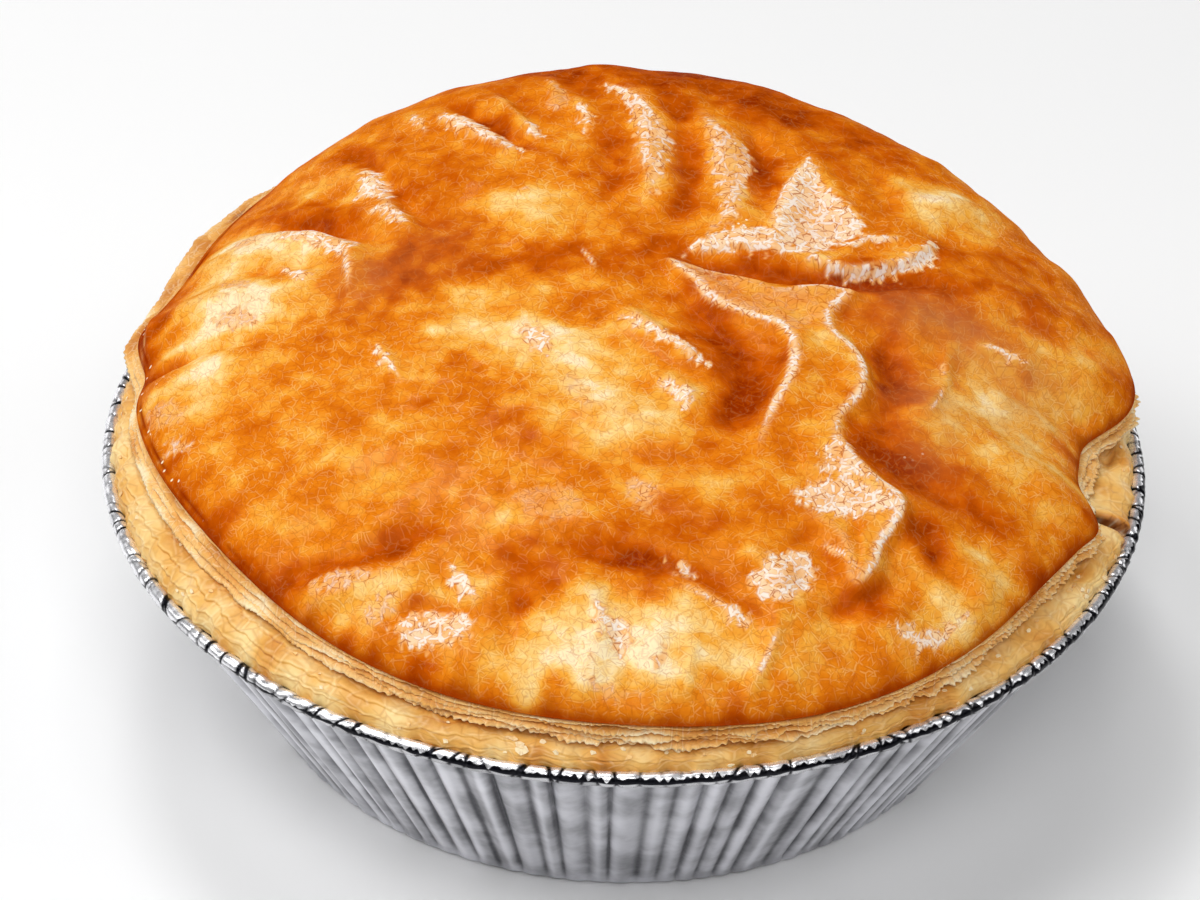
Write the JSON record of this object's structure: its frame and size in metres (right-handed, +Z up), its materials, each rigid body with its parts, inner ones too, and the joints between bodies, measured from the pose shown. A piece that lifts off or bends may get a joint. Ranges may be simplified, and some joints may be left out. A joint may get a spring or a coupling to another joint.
{
  "type": "steak pie",
  "caption": "Round steak pie with a puffed, folded and glazed flaky lid over a pale crust, baked in a fluted foil tin with a rolled rim.",
  "frame": {"origin": "centre of the tin's flat foot, on the table", "axes": "+Z up along the tin's axis; -Y towards the front of the pie, +X to its right"},
  "size_m": [0.125, 0.125, 0.0556],
  "materials": {
    "foil": "bright crumpled foil",
    "pale_pastry": "dry pale baked pastry",
    "glazed_pastry": "glossy browned egg glaze"
  },
  "bodies": {
    "root": {"foil_tin": "foil", "pastry_case": "pale_pastry", "pastry_lid": "glazed_pastry"}
  },
  "joints": []
}
